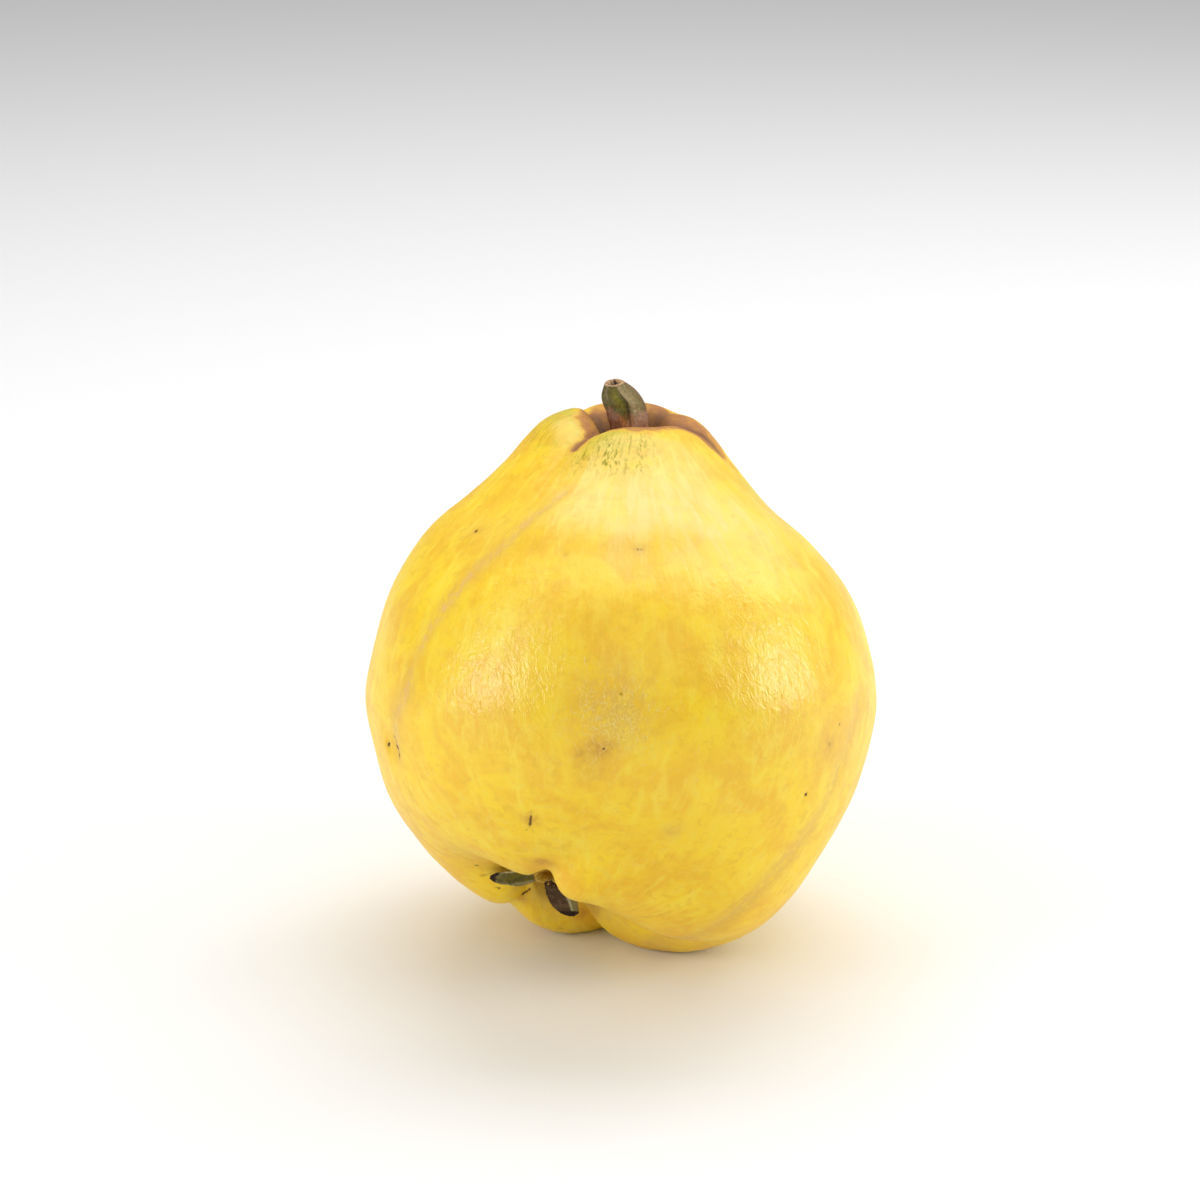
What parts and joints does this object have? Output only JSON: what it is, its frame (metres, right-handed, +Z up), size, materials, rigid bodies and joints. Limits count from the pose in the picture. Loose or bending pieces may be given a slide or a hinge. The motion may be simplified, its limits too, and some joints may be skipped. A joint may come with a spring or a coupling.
{
  "type": "quince",
  "caption": "Ripe quince: a lobed, pear-topped fruit with a short woody stem stub above and a dried calyx in its basin, lying on its base.",
  "frame": {"origin": "middle of the small flat spot on the base that the fruit rests on", "axes": "+Z up as the fruit lies, +X to the right and +Y to the back; the core leans back 20 degrees from +Z, with the calyx towards the front and left"},
  "size_m": [0.0899, 0.0879, 0.0979],
  "materials": {
    "skin": "waxy golden-yellow skin with a little down",
    "stem_wood": "rough olive-brown bark",
    "dry_sepal": "dry, downy grey-green leaf",
    "dry_stamen": "dry, dark brown threads"
  },
  "bodies": {
    "root": {"fruit": "skin", "stem": "stem_wood", "calyx": "dry_sepal", "stamens": "dry_stamen"}
  },
  "joints": []
}
